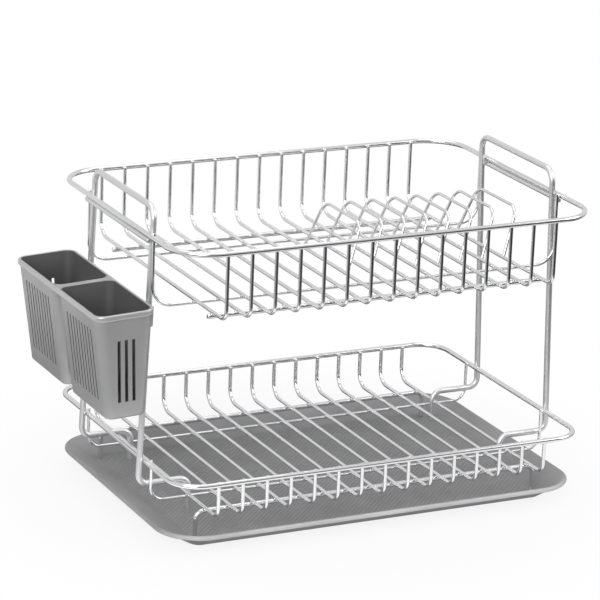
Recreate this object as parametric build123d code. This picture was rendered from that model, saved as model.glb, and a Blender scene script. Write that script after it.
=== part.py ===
from build123d import *
import math
import os

# A two-tier dish drying rack: welded wire racks, a drip tray and a hanging caddy.
# Millimetres, +Z up, +X to the right, -Y towards the front.
# The origin is the centre of the drip tray's underside.

# Wire diameters
rim_wire = 5.0
cross_wire = 3.6
rail_wire = 4.8
tie_wire = 3.0
divider_wire = 3.0
support_wire = 6.0
crossbar_wire = 5.0

# Fits
weld_gap = 0.02  # between wires that are welded where they cross
rest_gap = 0.3  # between a loose frame and what carries it
leg_side_gap = 0.5  # between the support legs and the upper rim around them
tie_side_gap = 2.5  # between a tie and the support leg beside it
crossbar_end_gap = 0.5  # between a crossbar's end and the tie past it
clip_gap = 0.3  # between the caddy's clips and the legs in them

# Both racks
wire_count = 15
rim_depth = 313.0  # between the axes of the front and back rim wires
front_bend = 11.0
back_bend = 15.0
cross_lap = 1.0  # how far a cross wire's end stands above the rim's axis

# Lower rack
lower_pitch = 25.3
lower_end_margin = 42.0  # from the last cross wire to the side of the rim
lower_rim_corner = 30.0
lower_basket = 35.7  # from the rim's axis down to the cross wires' axis
lower_rail_inset = 38.0
lower_tie_bend = 14.0
foot_height = 28.0  # from the tray's floor to the rails' axis
foot_reach = 8.0  # from the last cross wire out to the foot
foot_bend = 8.0

# Upper rack
upper_pitch = 25.0
upper_end_margin = 47.2
upper_rim_corner = 42.0
upper_basket = 66.6
upper_front_rail_inset = 36.0
upper_back_rail_inset = 47.0
upper_rail_overhang = 5.0
upper_tie_bend = 20.0
tier_rise = 226.9  # from the lower rim up to the upper rim

# Dividers
divider_count = 8
divider_base = 98.0
divider_top = 80.0
divider_height = 47.5
divider_lean = 17.0
divider_bend = 14.0
divider_lap = 2.0

# Supports
leg_spread = 144.0
support_rise = 25.0  # from the upper rim's axis up to the top bar
run_drop = 23.2  # from the lower rim's axis down to the run under it
hook_drop = 31.5  # from the run down to the hook's tip
top_bend = 13.0
leg_bend = 10.0
hook_bend = 10.0

# Drip tray
tray_floor = 3.0
tray_wall = 2.4
tray_height = 18.6
tray_end_run = 33.2  # from the end of the base out to the lip's edge
tray_front_run = 26.0  # from the front of the base out to the lip's edge
tray_base_corner = 10.0
tray_lip_corner = 45.0
tray_lip_wire = 4.6
tray_end_margin = 6.0  # from a foot out to the end of the base
tray_front_margin = 9.8  # from a foot out to the front of the base

# Caddy
caddy_length = 211.0
caddy_width = 62.0
caddy_height = 106.0
caddy_drop = 64.6  # from the upper rim's axis down to the caddy's top
caddy_standoff = 1.3  # from the legs out to the caddy's rim
caddy_shift = 3.5  # from the middle of the legs back to the caddy's middle
caddy_corner = 12.0
caddy_wall = 2.0
caddy_floor = 2.4
caddy_band = 6.0
caddy_band_step = 1.5
pocket_side_taper = 9.0
pocket_end_taper = 4.5
pocket_gap_top = 5.0
pocket_gap_bottom = 17.0
pocket_foot_corner = 8.0
side_slot_count = 9
side_slot_pitch = 7.2
side_slot_width = 2.2
outer_slot_height = 71.0
inner_slot_height = 53.0
end_slot_count = 3
end_slot_pitch = 7.4
end_slot_width = 3.0
end_slot_height = 62.0
slot_lift = 17.0  # from the caddy's foot up to the slots
clip_height = 20.0
clip_wall = 1.8
clip_mouth = 5.0

# Heights, stacked up from the tray
lower_rail_z = tray_floor + foot_height
lower_cross_z = lower_rail_z + (rail_wire + cross_wire) / 2 + weld_gap
lower_tie_z = lower_cross_z - (cross_wire + tie_wire) / 2 - weld_gap
lower_rim_z = lower_cross_z + lower_basket
upper_rim_z = lower_rim_z + tier_rise
upper_cross_z = upper_rim_z - upper_basket
upper_rail_z = upper_cross_z - (rail_wire + cross_wire) / 2 - weld_gap
upper_tie_z = upper_cross_z - (cross_wire + tie_wire) / 2 - weld_gap
support_top_z = upper_rim_z + support_rise
run_z = lower_rim_z - run_drop
crossbar_z = upper_rim_z - (rim_wire + crossbar_wire) / 2 - rest_gap
caddy_top_z = upper_rim_z - caddy_drop
caddy_foot_z = caddy_top_z - caddy_height

# Places across the racks
middle = (wire_count - 1) / 2
lower_last_x = middle * lower_pitch
upper_last_x = middle * upper_pitch
lower_half_x = lower_last_x + lower_end_margin
upper_half_x = upper_last_x + upper_end_margin
half_y = rim_depth / 2
leg_y = leg_spread / 2
tie_y = leg_y + (support_wire + tie_wire) / 2 + tie_side_gap
lower_rail_y = half_y - lower_rail_inset
upper_front_rail_y = half_y - upper_front_rail_inset
upper_back_rail_y = half_y - upper_back_rail_inset
foot_x = lower_last_x + foot_reach
hook_x = lower_last_x - (cross_wire + support_wire) / 2 - weld_gap

# The legs lie outside the lower rim and inside the upper rim
leg_low_x = lower_half_x + (rim_wire + support_wire) / 2 + weld_gap
leg_high_x = upper_half_x - (rim_wire + support_wire) / 2 - leg_side_gap
leg_slope = (leg_high_x - leg_low_x) / (upper_rim_z - lower_rim_z)


def leg_x(z):
    return leg_low_x + leg_slope * (z - lower_rim_z)


# The caddy hangs by its inner top edge, with its tapered inner wall along the legs
caddy_edge_x = -(leg_x(caddy_top_z) + support_wire / 2 + caddy_standoff)
caddy_x = caddy_edge_x - caddy_width / 2
caddy_turn = math.degrees(math.atan2(pocket_side_taper, caddy_height) + math.atan(leg_slope))


def bent_wire(points, radii, diameter):
    path = FilletPolyline(*points, radius=radii)
    section = Plane(origin=path @ 0, z_dir=path % 0) * Circle(diameter / 2)
    return sweep(section, path=path)


def straight_wire(start, end, diameter):
    path = Line(start, end)
    section = Plane(origin=start, z_dir=path % 0) * Circle(diameter / 2)
    return sweep(section, path=path)


def closed_wire(length, depth, corner, z, diameter):
    path = (Pos(0, 0, z) * RectangleRounded(length, depth, corner)).wire()
    section = Plane(origin=path @ 0, z_dir=path % 0) * Circle(diameter / 2)
    return sweep(section, path=path)


def inside_rim(along, half_along, half_across, corner, offset):
    # Half the room across the rim at a place along it, less an offset from its axis
    into_corner = max(0.0, abs(along) - (half_along - corner))
    radius = corner - offset
    return half_across - corner + math.sqrt(radius**2 - into_corner**2)


def cross_wire_at(x, half_x, corner, rim_z, bottom_z):
    offset = (rim_wire + cross_wire) / 2 + weld_gap
    y = inside_rim(x, half_x, half_y, corner, offset)
    top_z = rim_z + cross_lap
    points = [(x, -y, top_z), (x, -y, bottom_z), (x, y, bottom_z), (x, y, top_z)]
    return bent_wire(points, [front_bend, back_bend], cross_wire)


def tie_at(y, half_x, corner, bend, rim_z, bottom_z):
    offset = (rim_wire + tie_wire) / 2 + weld_gap
    x = inside_rim(y, half_y, half_x, corner, offset)
    top_z = rim_z + rim_wire / 2
    points = [(-x, y, top_z), (-x, y, bottom_z), (x, y, bottom_z), (x, y, top_z)]
    return bent_wire(points, [bend, bend], tie_wire)


def footed_rail(y):
    foot_z = tray_floor + rest_gap
    points = [
        (-foot_x, y, foot_z),
        (-foot_x, y, lower_rail_z),
        (foot_x, y, lower_rail_z),
        (foot_x, y, foot_z),
    ]
    return bent_wire(points, [foot_bend, foot_bend], rail_wire)


def straight_rail(y):
    x = upper_last_x + upper_rail_overhang
    return straight_wire((-x, y, upper_rail_z), (x, y, upper_rail_z), rail_wire)


def divider_at(x):
    # The loop leans to +X, and its legs are welded to the side of a cross wire
    lean = math.atan2(divider_lean, divider_height)
    reach = (cross_wire + divider_wire) / 2 + weld_gap
    weld_x = x + reach * math.cos(lean)
    weld_z = upper_cross_z - reach * math.sin(lean)
    below = divider_lap / divider_height
    foot_y = divider_base / 2 + below * (divider_base - divider_top) / 2
    foot = (weld_x - below * divider_lean, weld_z - divider_lap)
    top = (weld_x + divider_lean, weld_z + divider_height)
    points = [
        (foot[0], -foot_y, foot[1]),
        (top[0], -divider_top / 2, top[1]),
        (top[0], divider_top / 2, top[1]),
        (foot[0], foot_y, foot[1]),
    ]
    return bent_wire(points, [divider_bend, divider_bend], divider_wire)


def support(side):
    # One wire: hook, run under the lower rim, leg, top bar, and the same in reverse
    half = [
        (side * hook_x, run_z - hook_drop),
        (side * hook_x, run_z),
        (side * leg_x(run_z), run_z),
        (side * leg_x(support_top_z), support_top_z),
    ]
    front = [(x, -leg_y, z) for x, z in half]
    back = [(x, leg_y, z) for x, z in reversed(half)]
    radii = [hook_bend, leg_bend, top_bend, top_bend, leg_bend, hook_bend]
    return bent_wire(front + back, radii, support_wire)


def crossbar(side):
    x = side * (leg_x(crossbar_z) + (support_wire + crossbar_wire) / 2 + weld_gap)
    y = tie_y - tie_wire / 2 - crossbar_end_gap
    return straight_wire((x, -y, crossbar_z), (x, y, crossbar_z), crossbar_wire)


def tapered_block(low_size, low_corner, low_place, high_size, high_corner, high_place):
    low = Pos(*low_place) * RectangleRounded(*low_size, low_corner)
    high = Pos(*high_place) * RectangleRounded(*high_size, high_corner)
    return loft([low, high])


def drip_tray():
    end_run = tray_end_run - tray_lip_wire / 2
    front_run = tray_front_run - tray_lip_wire / 2
    base_x = 2 * (foot_x + tray_end_margin)
    base_y = 2 * (lower_rail_y + tray_front_margin)
    lip_x = base_x + 2 * end_run
    lip_y = base_y + 2 * front_run
    lip_corner = tray_lip_corner - tray_lip_wire / 2
    lip_z = tray_height - tray_lip_wire / 2
    outer = tapered_block(
        (base_x, base_y), tray_base_corner, (0, 0, 0), (lip_x, lip_y), lip_corner, (0, 0, lip_z)
    )
    # The well is the outer shape drawn in by the wall, cut through the top
    end_in = tray_wall * math.hypot(end_run, lip_z) / lip_z
    front_in = tray_wall * math.hypot(front_run, lip_z) / lip_z
    corner_in = (end_in + front_in) / 2
    share = tray_floor / lip_z
    floor_x = base_x + 2 * (share * end_run - end_in)
    floor_y = base_y + 2 * (share * front_run - front_in)
    floor_corner = tray_base_corner + share * (lip_corner - tray_base_corner) - corner_in
    well = tapered_block(
        (floor_x, floor_y),
        floor_corner,
        (0, 0, tray_floor),
        (lip_x - 2 * end_in, lip_y - 2 * front_in),
        lip_corner - corner_in,
        (0, 0, lip_z),
    )
    lip = closed_wire(lip_x, lip_y, lip_corner, lip_z, tray_lip_wire)
    return outer - well + lip


def pocket(end, inset, foot_z):
    # One tapered pocket towards -Y or +Y, drawn in by an inset for its inside
    top_near = pocket_gap_top / 2
    top_far = caddy_length / 2 - caddy_band_step
    foot_near = pocket_gap_bottom / 2
    foot_far = top_far - pocket_end_taper
    top_width = caddy_width - 2 * caddy_band_step
    foot_width = top_width - 2 * pocket_side_taper
    return tapered_block(
        (foot_width - 2 * inset, foot_far - foot_near - 2 * inset),
        pocket_foot_corner - inset,
        (caddy_x, caddy_shift + end * (foot_near + foot_far) / 2, foot_z),
        (top_width - 2 * inset, top_far - top_near - 2 * inset),
        caddy_corner - caddy_band_step - inset,
        (caddy_x, caddy_shift + end * (top_near + top_far) / 2, caddy_top_z),
    )


def pocket_slots(end):
    # Boxes that cut the outer, inner and end walls of one pocket
    top_far = caddy_length / 2 - caddy_band_step
    foot_far = top_far - pocket_end_taper
    far_y = (top_far + foot_far) / 2
    centre_y = (pocket_gap_top / 2 + pocket_gap_bottom / 2 + top_far + foot_far) / 4
    side_x = caddy_width / 2 - caddy_band_step - pocket_side_taper / 2
    slot_z = caddy_foot_z + slot_lift
    side_cut = pocket_side_taper + 4 * caddy_wall
    end_cut = pocket_end_taper + 4 * caddy_wall
    cuts = []
    for i in range(side_slot_count):
        y = caddy_shift + end * centre_y + (i - (side_slot_count - 1) / 2) * side_slot_pitch
        for way, height in ((-1, outer_slot_height), (1, inner_slot_height)):
            place = Pos(caddy_x + way * side_x, y, slot_z + height / 2)
            cuts.append(place * Box(side_cut, side_slot_width, height))
    for i in range(end_slot_count):
        x = caddy_x + (i - (end_slot_count - 1) / 2) * end_slot_pitch
        place = Pos(x, caddy_shift + end * far_y, slot_z + end_slot_height / 2)
        cuts.append(place * Box(end_slot_width, end_cut, end_slot_height))
    return cuts


def hung(shape):
    # Turns an upright shape about the caddy's inner top edge, onto the legs
    return shape.rotate(Axis((caddy_edge_x, 0, caddy_top_z), (0, -1, 0)), caddy_turn)


def clip_frame(y):
    # A plane on the left leg's axis at the clip's foot, along the leg
    z = caddy_top_z - caddy_band - clip_height
    origin = (-leg_x(z), y, z)
    return Plane(origin=origin, x_dir=(0, 1, 0), z_dir=(-leg_slope, 0, 1))


def clip_body(y):
    # A ring round the leg, with a web that reaches into the pocket's wall
    radius = support_wire / 2 + clip_gap + clip_wall
    reach = support_wire / 2 + caddy_standoff + caddy_band_step + caddy_wall / 2
    ring = Cylinder(radius, clip_height, align=(Align.CENTER, Align.CENTER, Align.MIN))
    web = Box(2 * radius, reach, clip_height, align=(Align.CENTER, Align.MIN, Align.MIN))
    return clip_frame(y) * (ring + web)


def clip_cut(y):
    radius = support_wire / 2 + clip_gap
    length = 2 * clip_height
    bore = Cylinder(radius, length)
    mouth_reach = 2 * (radius + clip_wall)
    mouth = Box(clip_mouth, mouth_reach, length, align=(Align.CENTER, Align.MAX, Align.CENTER))
    return clip_frame(y) * Pos(0, 0, clip_height / 2) * (bore + mouth)


def caddy():
    place = Pos(caddy_x, caddy_shift, caddy_top_z)
    outline = place * RectangleRounded(caddy_width, caddy_length, caddy_corner)
    body = hung(extrude(outline, -caddy_band))
    for end in (-1, 1):
        body += hung(pocket(end, 0, caddy_foot_z))
        body += clip_body(end * leg_y)
    for end in (-1, 1):
        body -= hung(pocket(end, caddy_wall, caddy_foot_z + caddy_floor))
        body -= [hung(slot) for slot in pocket_slots(end)]
        body -= clip_cut(end * leg_y)
    return body


parts = {}
parts["drip_tray"] = drip_tray()
racks = {
    "lower": (lower_pitch, lower_half_x, lower_rim_corner, lower_tie_bend),
    "upper": (upper_pitch, upper_half_x, upper_rim_corner, upper_tie_bend),
}
levels = {
    "lower": (lower_rim_z, lower_cross_z, lower_tie_z),
    "upper": (upper_rim_z, upper_cross_z, upper_tie_z),
}
for tier, (pitch, half_x, corner, bend) in racks.items():
    rim_z, cross_z, tie_z = levels[tier]
    parts[f"{tier}_rim"] = closed_wire(2 * half_x, rim_depth, corner, rim_z, rim_wire)
    for i in range(wire_count):
        x = (i - middle) * pitch
        parts[f"{tier}_cross_wire_{i + 1:02d}"] = cross_wire_at(x, half_x, corner, rim_z, cross_z)
    for name, way in (("front", -1), ("back", 1)):
        parts[f"{tier}_{name}_tie"] = tie_at(way * tie_y, half_x, corner, bend, rim_z, tie_z)
parts["lower_front_rail"] = footed_rail(-lower_rail_y)
parts["lower_back_rail"] = footed_rail(lower_rail_y)
parts["upper_front_rail"] = straight_rail(-upper_front_rail_y)
parts["upper_back_rail"] = straight_rail(upper_back_rail_y)
for i in range(divider_count):
    divider_x = upper_last_x - (divider_count - 1 - i) * upper_pitch
    parts[f"divider_{i + 1:02d}"] = divider_at(divider_x)
for name, side in (("left", -1), ("right", 1)):
    parts[f"{name}_support"] = support(side)
    parts[f"{name}_crossbar"] = crossbar(side)
parts["caddy"] = caddy()

os.makedirs("parts", exist_ok=True)
for name, shape in parts.items():
    export_step(shape, f"parts/{name}.step")
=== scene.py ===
import math

import bpy
import numpy as np
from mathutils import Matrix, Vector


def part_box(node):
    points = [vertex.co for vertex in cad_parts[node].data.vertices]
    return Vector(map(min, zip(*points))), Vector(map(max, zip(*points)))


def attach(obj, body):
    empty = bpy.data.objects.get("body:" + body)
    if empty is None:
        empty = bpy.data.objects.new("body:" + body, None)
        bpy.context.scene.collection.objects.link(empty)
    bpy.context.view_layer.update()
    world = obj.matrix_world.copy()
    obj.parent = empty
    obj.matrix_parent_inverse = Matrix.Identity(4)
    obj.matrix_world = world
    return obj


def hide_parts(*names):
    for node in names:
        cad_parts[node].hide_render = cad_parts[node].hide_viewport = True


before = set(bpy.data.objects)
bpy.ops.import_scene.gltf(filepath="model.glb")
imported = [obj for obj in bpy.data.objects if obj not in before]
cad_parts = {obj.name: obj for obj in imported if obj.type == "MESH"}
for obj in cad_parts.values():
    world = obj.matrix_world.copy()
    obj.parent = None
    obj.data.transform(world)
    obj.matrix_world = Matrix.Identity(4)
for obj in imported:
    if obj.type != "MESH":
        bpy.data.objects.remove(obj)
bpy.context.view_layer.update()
mm = 0.001
print("frame loaded:", len(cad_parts), "nodes")


# Places read from the frame

def nodeBox(node):
    # lowest and highest corner of a node, as arrays
    low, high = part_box(node)
    return np.array(low), np.array(high)


def boxFace(node, axis):
    # half the size of a node and its middle, along one axis
    low, high = nodeBox(node)
    return (high[axis] - low[axis]) / 2, (high[axis] + low[axis]) / 2


# Curves and surfaces

def unit(rows):
    # every row divided by its own length
    return rows / np.linalg.norm(rows, axis=-1, keepdims=True)


def bentPath(points, radii, steps=10, ease=0.3 * mm):
    # straight runs joined by arcs: centre + arm cos(t) + radius times heading times sin(t); a point just
    # outside each arc keeps the shading of the straight runs straight
    points = np.asarray(points, float)
    rows = [points[:1]]
    for before, corner, after, radius in zip(points, points[1:], points[2:], radii):
        heading, leaving = unit(corner - before), unit(after - corner)
        turn = math.acos(np.clip(heading @ leaving, -1, 1))
        start = corner - heading * radius * math.tan(turn / 2)
        centre = corner + unit(leaving - heading) * radius / math.cos(turn / 2)
        t = np.linspace(0, turn, steps)[:, None]
        arc = centre + (start - centre) * np.cos(t) + heading * radius * np.sin(t)
        rows += [start[None] - heading * ease, arc, arc[-1:] + leaving * ease]
    rows.append(points[-1:])
    return np.vstack(rows)


def roundedLoop(halfX, halfY, corner, steps=12, ease=0.0):
    # four quarter arcs, counter-clockwise: corner centre + corner radius times (cos t, sin t), with a
    # point a short way past each end of an arc where an ease is given
    halfX, halfY, corner = (np.asarray(v, float)[..., None, None] for v in (halfX, halfY, corner))
    quarter = np.arange(4)[:, None]
    angle = np.linspace(0, math.pi / 2, steps) + quarter * math.pi / 2
    signX = np.array([1, -1, -1, 1])[:, None]
    signY = np.array([1, 1, -1, -1])[:, None]
    x = signX * (halfX - corner) + corner * np.cos(angle)
    y = signY * (halfY - corner) + corner * np.sin(angle)
    loop = np.stack([x, y], -1)
    if ease:
        heading = np.stack([-np.sin(angle), np.cos(angle)], -1)[:, [0, -1]]
        past = loop[..., [0, -1], :] + heading * np.array([-ease, ease])[:, None]
        loop = np.concatenate([past[..., :1, :], loop, past[..., 1:, :]], -2)
    return loop.reshape(loop.shape[:-3] + (-1, 2))


def carry(path, side, section, scale=None, closed=False):
    # section point (n, b) at path point p becomes p + n N + b B, where N is the side vector
    # made square to the tangent T and B is T x N
    if closed:
        step = unit(np.roll(path, -1, axis=0) - path)
        tangent = unit(step + np.roll(step, 1, axis=0))
    else:
        step = unit(np.diff(path, axis=0))
        tangent = unit(np.vstack([step[:1], step[:-1] + step[1:], step[-1:]]))
    side = np.asarray(side, float)
    normal = unit(side - (tangent @ side)[:, None] * tangent)
    binormal = np.cross(tangent, normal)
    scale = np.ones(len(path)) if scale is None else scale
    n = scale[:, None, None] * section[None, :, :1]
    b = scale[:, None, None] * section[None, :, 1:]
    return path[:, None] + n * normal[:, None] + b * binormal[:, None]


def loftMesh(name, rings, poles=(True, True), closed=False, keep=None):
    # quads between neighbouring rings of a pieces x rings x columns grid, with a fan to a pole
    # at each end; keep is a mask of quads
    rings = np.asarray(rings, float)
    rings = rings[None] if rings.ndim == 3 else rings
    count, rows, columns = rings.shape[:3]
    index = np.arange(count * rows * columns).reshape(count, rows, columns)
    beside = np.roll(index, -1, axis=2)
    last = rows if closed else rows - 1
    above, aboveBeside = np.roll(index, -1, axis=1), np.roll(beside, -1, axis=1)
    quads = np.stack([index, beside, aboveBeside, above], -1)[:, :last]
    quads = quads.reshape(-1, 4) if keep is None else quads.reshape(-1, 4)[keep.ravel()]
    points, faces = [rings.reshape(-1, 3)], quads.tolist()
    total = count * rows * columns
    for atEnd, wanted in zip((0, -1), poles):
        if not wanted or closed:
            continue
        tips = np.broadcast_to(total + np.arange(count)[:, None], (count, columns))
        pair = (beside, index) if atEnd == 0 else (index, beside)
        fan = np.stack([tips, pair[0][:, atEnd], pair[1][:, atEnd]], -1)
        faces += fan.reshape(-1, 3).tolist()
        points.append(rings[:, atEnd].mean(axis=1))
        total += count
    mesh = bpy.data.meshes.new(name)
    mesh.from_pydata(np.vstack(points).tolist(), [], faces)
    mesh.polygons.foreach_set("use_smooth", np.ones(len(mesh.polygons), bool))
    mesh.update()
    return mesh


def addObject(name, data):
    # an object at the origin, in the scene
    made = bpy.data.objects.new(name, data)
    bpy.context.scene.collection.objects.link(made)
    return made


def setPlace(made, right, up, back, place):
    # an object's axes and place as the columns of its matrix
    matrix = np.eye(4)
    matrix[:3, :] = np.column_stack([right, up, back, place])
    made.matrix_world = [tuple(column) for column in matrix.T]


def setValues(mesh, name, values, width=1):
    # a number, or a vector of three, for the points of the grid in order, and zero at the poles
    kind, field = ("FLOAT", "value") if width == 1 else ("FLOAT_VECTOR", "vector")
    numbers = np.zeros(len(mesh.vertices) * width, np.float32)
    numbers[:values.size] = values.ravel()
    attribute = mesh.attributes.new(name, kind, "POINT")
    attribute.data.foreach_set(field, numbers)


def addPiece(name, mesh, material, body, slot, *nodes):
    # an object that rides on a body and stands for the named nodes
    piece = addObject(name, mesh)
    mesh.materials.append(material)
    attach(piece, body)
    if nodes:
        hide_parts(*nodes)
    return piece


# Node helpers for the materials

def addNode(tree, kind, **values):
    # a node with its properties set, and its inputs set where a name is an input's
    node = tree.nodes.new(kind)
    for key, value in values.items():
        if key in node.inputs:
            node.inputs[key].default_value = value
        else:
            setattr(node, key, value)
    return node


def newGroup(name, inputs, outputs):
    # an empty node group with its named sockets; a number default makes a value socket
    group = bpy.data.node_groups.new(name, "ShaderNodeTree")
    for socket, default in inputs.items():
        kind = "NodeSocketVector" if default is None else "NodeSocketFloat"
        made = group.interface.new_socket(name=socket, in_out="INPUT", socket_type=kind)
        if default is not None:
            made.default_value = default
    for socket in outputs:
        group.interface.new_socket(name=socket, in_out="OUTPUT", socket_type="NodeSocketFloat")
    return group, group.nodes.new("NodeGroupInput"), group.nodes.new("NodeGroupOutput")


def join(tree, *links):
    # a link for each row of a node, its output, the next node and its input
    for source, given, target, taken in links:
        tree.links.new(source.outputs[given], target.inputs[taken])


def fineGrainGroup():
    # Height is fine noise, and Patches is slow noise spread to 0..1
    group, given, made = newGroup(
        "fineGrain", {"Vector": None, "Grain Scale": 1800.0, "Patch Scale": 30.0}, ("Height", "Patches"))
    fine = addNode(group, "ShaderNodeTexNoise", Detail=2.0, Roughness=0.6)
    slow = addNode(group, "ShaderNodeTexNoise", Detail=3.0, Roughness=0.55)
    spread = addNode(group, "ShaderNodeMapRange", **{"From Min": 0.3, "From Max": 0.7})
    join(
        group,
        (given, "Vector", fine, "Vector"),
        (given, "Vector", slow, "Vector"),
        (given, "Grain Scale", fine, "Scale"),
        (given, "Patch Scale", slow, "Scale"),
        (slow, "Fac", spread, "Value"),
        (fine, "Fac", made, "Height"),
        (spread, "Result", made, "Patches"),
    )
    return group


def hairScratchGroup():
    # noise drawn out along the first axis, kept only where it passes a threshold
    group, given, made = newGroup(
        "hairScratches", {"Vector": None, "Scale": 60.0, "Stretch": 0.04, "Amount": 0.5}, ("Mask",))
    split = addNode(group, "ShaderNodeSeparateXYZ")
    drawn = addNode(group, "ShaderNodeMath", operation="MULTIPLY")
    joined = addNode(group, "ShaderNodeCombineXYZ")
    noise = addNode(group, "ShaderNodeTexNoise", Detail=3.0, Roughness=0.7)
    kept = addNode(group, "ShaderNodeMapRange", **{"From Min": 0.56, "From Max": 0.78})
    amount = addNode(group, "ShaderNodeMath", operation="MULTIPLY")
    join(
        group,
        (given, "Vector", split, "Vector"),
        (split, "X", drawn, 0),
        (given, "Stretch", drawn, 1),
        (drawn, "Value", joined, "X"),
        (split, "Y", joined, "Y"),
        (split, "Z", joined, "Z"),
        (joined, "Vector", noise, "Vector"),
        (given, "Scale", noise, "Scale"),
        (noise, "Fac", kept, "Value"),
        (kept, "Result", amount, 0),
        (given, "Amount", amount, 1),
        (amount, "Value", made, "Mask"),
    )
    return group


fineGrain = fineGrainGroup()
hairScratches = hairScratchGroup()


def bareMaterial(name):
    # a material with only an output
    material = bpy.data.materials.new(name)
    material.use_nodes = True
    tree = material.node_tree
    tree.nodes.clear()
    return material, tree, addNode(tree, "ShaderNodeOutputMaterial")


def newMaterial(name, **values):
    # a material with a Principled shader on its output, whose inputs take the values
    material, tree, output = bareMaterial(name)
    shader = addNode(tree, "ShaderNodeBsdfPrincipled", **values)
    join(tree, (shader, "BSDF", output, "Surface"))
    return material, tree, shader


def roughened(tree, shader, value, low, high, mask, change):
    # roughness from a 0..1 value spread to low..high, plus a change times a mask
    spread = addNode(tree, "ShaderNodeMapRange", **{"To Min": low, "To Max": high})
    total = addNode(tree, "ShaderNodeMath", operation="MULTIPLY_ADD")
    total.inputs[1].default_value = change
    tree.links.new(value, spread.inputs["Value"])
    tree.links.new(mask, total.inputs[0])
    join(tree, (spread, "Result", total, 2), (total, "Value", shader, "Roughness"))


def bumped(tree, shader, heights):
    # bumps stacked one on the other: each is a height, its strength and its distance
    normal = None
    for height, strength, distance in heights:
        bump = addNode(tree, "ShaderNodeBump", Strength=strength, Distance=distance)
        tree.links.new(height, bump.inputs["Height"])
        if normal is not None:
            tree.links.new(normal, bump.inputs["Normal"])
        normal = bump.outputs["Normal"]
    tree.links.new(normal, shader.inputs["Normal"])


wireLook = {
    "grainScale": 900.0, "hairScale": 9.0, "hairStretch": 8.0, "hairRough": 0.12, "hairBump": 0.15,
    "hairDepth": 0.02 * mm, "waveBump": 0.25,
}
chromeFinish = {
    "color": (0.86, 0.86, 0.87), "roughness": (0.08, 0.13), "waveScale": 45.0,
    "waveDepth": 0.25 * mm, "scratch": 0.35,
}
satinFinish = {
    "color": (0.8, 0.8, 0.81), "roughness": (0.36, 0.44), "waveScale": 45.0,
    "waveDepth": 0.2 * mm, "scratch": 0.5,
}


def wireMaterial(name, finish):
    # plated wire: slow waves bend the reflections, and hair scratches along the wire roughen it
    color = (*finish["color"], 1.0)
    material, tree, shader = newMaterial(name, Metallic=1.0, **{"Base Color": color})
    run = addNode(tree, "ShaderNodeAttribute", attribute_name="wireRun")
    coords = addNode(tree, "ShaderNodeTexCoord")
    grain = addNode(
        tree, "ShaderNodeGroup", node_tree=fineGrain,
        **{"Grain Scale": wireLook["grainScale"], "Patch Scale": finish["waveScale"]})
    hair = addNode(
        tree, "ShaderNodeGroup", node_tree=hairScratches, Scale=wireLook["hairScale"],
        Stretch=wireLook["hairStretch"], Amount=finish["scratch"])
    join(tree, (coords, "Object", grain, "Vector"), (run, "Vector", hair, "Vector"))
    patches, mask = grain.outputs["Patches"], hair.outputs["Mask"]
    roughened(tree, shader, patches, *finish["roughness"], mask, wireLook["hairRough"])
    bumped(tree, shader, [
        (patches, wireLook["waveBump"], finish["waveDepth"]),
        (mask, wireLook["hairBump"], wireLook["hairDepth"]),
    ])
    return material


plasticLook = {
    "patchScale": 22.0, "hairScale": 700.0, "scratch": 0.4, "hairRough": -0.08, "hairBump": 0.2,
    "hairDepth": 0.02 * mm, "grainBump": 0.35, "coatRoughness": 0.25,
}
trayFinish = {
    "dark": (0.25, 0.25, 0.253), "light": (0.3, 0.3, 0.303), "roughness": (0.46, 0.54),
    "grainScale": 1500.0, "grainDepth": 0.05 * mm, "metallic": 0.0, "coat": 0.05, "specular": 0.4,
}
caddyFinish = {
    "dark": (0.39, 0.39, 0.394), "light": (0.43, 0.43, 0.434), "roughness": (0.34, 0.4),
    "grainScale": 1900.0, "grainDepth": 0.04 * mm, "metallic": 0.45, "coat": 0.5, "specular": 0.6,
}
# painted light: greys lighter than the caddy's own, standing in for the highlight along the rounded rim;
# the full coat and lower roughness are its real gloss
rimPaintedLightFinish = {
    **caddyFinish, "dark": (0.5, 0.5, 0.504), "light": (0.54, 0.54, 0.544), "roughness": (0.26, 0.32),
    "coat": 1.0,
}
# painted shade: much darker greys for the pockets' inner faces and cut edges, standing in for the shade
# inside them
insidePaintedShadeFinish = {
    **caddyFinish, "dark": (0.13, 0.13, 0.132), "light": (0.15, 0.15, 0.152), "metallic": 0.1, "coat": 0.0,
}


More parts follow.
